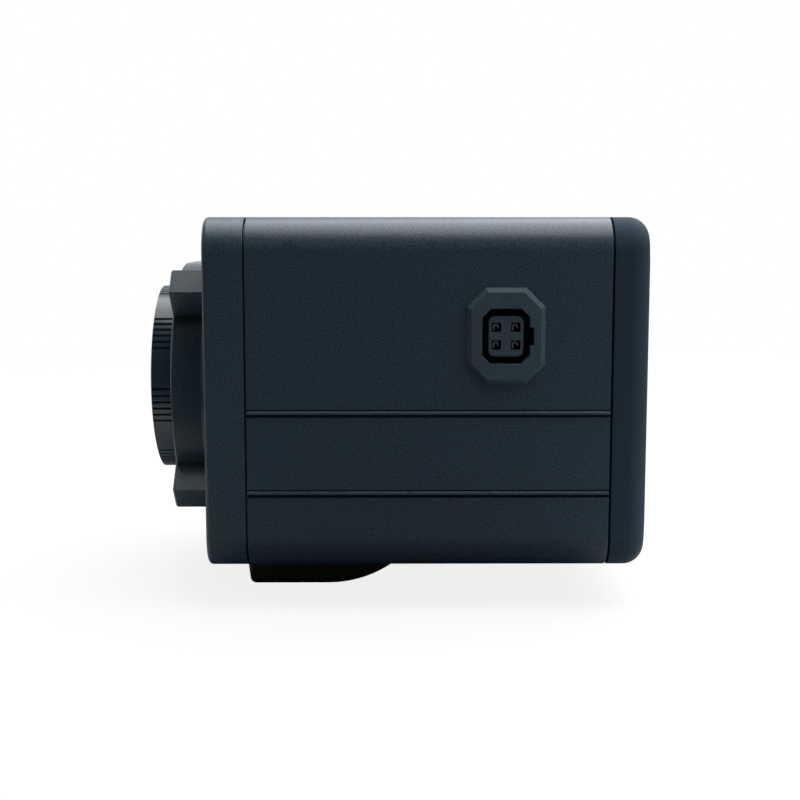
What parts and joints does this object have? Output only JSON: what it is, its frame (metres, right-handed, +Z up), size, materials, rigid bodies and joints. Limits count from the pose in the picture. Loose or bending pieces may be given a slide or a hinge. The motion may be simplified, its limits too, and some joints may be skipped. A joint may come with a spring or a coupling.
{
  "type": "box network camera body",
  "caption": "Compact box network camera body without lens: threaded lens mount with back-focus ring, auto-iris socket on the side, rear connectors and a tripod pad underneath.",
  "frame": {"origin": "mouth of the tripod thread, on the underside of the tripod pad", "axes": "the lens looks along -X, +Z is up, the auto-iris socket is on the -Y side"},
  "size_m": [0.0782, 0.0613, 0.0604],
  "materials": {
    "housing_coat": "fine matte textured coat on aluminium",
    "cover_plastic": "smooth satin moulding",
    "boss_plastic": "black moulding with a slight sheen",
    "ring_black": "glossy black anodised",
    "barrel_black": "matt black anodised",
    "screw_black": "black zinc",
    "screw_steel": "bright zinc",
    "socket_plastic": "black moulding",
    "contact_metal": "gold plated",
    "pin_metal": "nickel plated",
    "pad_plastic": "black moulding",
    "insert_brass": "plain turned brass",
    "spacer_brass": "turned hexagonal bar",
    "board_green": "green solder mask",
    "chip_black": "moulded package",
    "sensor_body": "dark ceramic package",
    "filter_plastic": "matt black moulding",
    "clear_glass": "coated optical glass",
    "infrared_glass": "blue-green infrared-cut glass",
    "ribbon_white": "flat ribbon and its sockets",
    "jack_metal": "tinned shield",
    "jack_plastic": "black moulding",
    "button_plastic": "black moulding",
    "light_plastic": "clear light pipe and lamp"
  },
  "bodies": {
    "housing": {"body_sleeve": "housing_coat", "front_plate": "housing_coat", "rear_cover": "cover_plastic", "mount_boss": "boss_plastic", "front_screws": "screw_black", "rear_screws": "screw_black", "pad_screws": "screw_black", "boss_screws": "screw_steel", "board_screws": "screw_steel", "iris_bezel": "socket_plastic", "iris_core": "socket_plastic", "iris_contacts": "contact_metal", "ethernet_contacts": "contact_metal", "power_pin": "pin_metal", "tripod_pad": "pad_plastic", "tripod_insert": "insert_brass", "front_spacers": "spacer_brass", "rear_spacers": "spacer_brass", "sensor_board": "board_green", "main_board": "board_green", "connector_board": "board_green", "processor": "chip_black", "memory_chips": "chip_black", "board_link": "chip_black", "reset_switch": "chip_black", "filter_coil": "chip_black", "image_sensor": "sensor_body", "filter_base": "filter_plastic", "sensor_window": "clear_glass", "ribbon_cable": "ribbon_white", "ribbon_sockets": "ribbon_white", "ethernet_jack": "jack_metal", "power_jack": "jack_plastic", "audio_in_jack": "jack_plastic", "audio_out_jack": "jack_plastic", "light_pipes": "light_plastic", "status_lamps": "light_plastic"},
    "focus_ring": {"back_focus_ring": "ring_black"},
    "mount_barrel": {"mount_barrel": "barrel_black"},
    "filter_slider": {"filter_slider": "filter_plastic", "infrared_glass": "infrared_glass", "clear_glass": "clear_glass"},
    "reset_button": {"reset_button": "button_plastic"}
  },
  "joints": [
    {"name": "focus_turn", "type": "hinge", "parent": "housing", "child": "focus_ring", "pos_m": [-0.018, 0, 0.03335], "axis": [1, 0, 0], "range_deg": [-160, 160]},
    {"name": "barrel_travel", "type": "slide", "parent": "housing", "child": "mount_barrel", "axis": [1, 0, 0], "range_m": [-0.00036, 0.00036]},
    {"name": "filter_shift", "type": "slide", "parent": "housing", "child": "filter_slider", "axis": [0, -1, 0], "range_m": [0, 0.0096]},
    {"name": "reset_press", "type": "slide", "parent": "housing", "child": "reset_button", "axis": [-1, 0, 0], "range_m": [0, 0.0004], "stiffness_N_per_m": 800, "springref_m": -0.0005}
  ],
  "couplings": [
    {"joint": "barrel_travel", "follows": "focus_turn", "m_per_rad": 0.00012633}
  ]
}
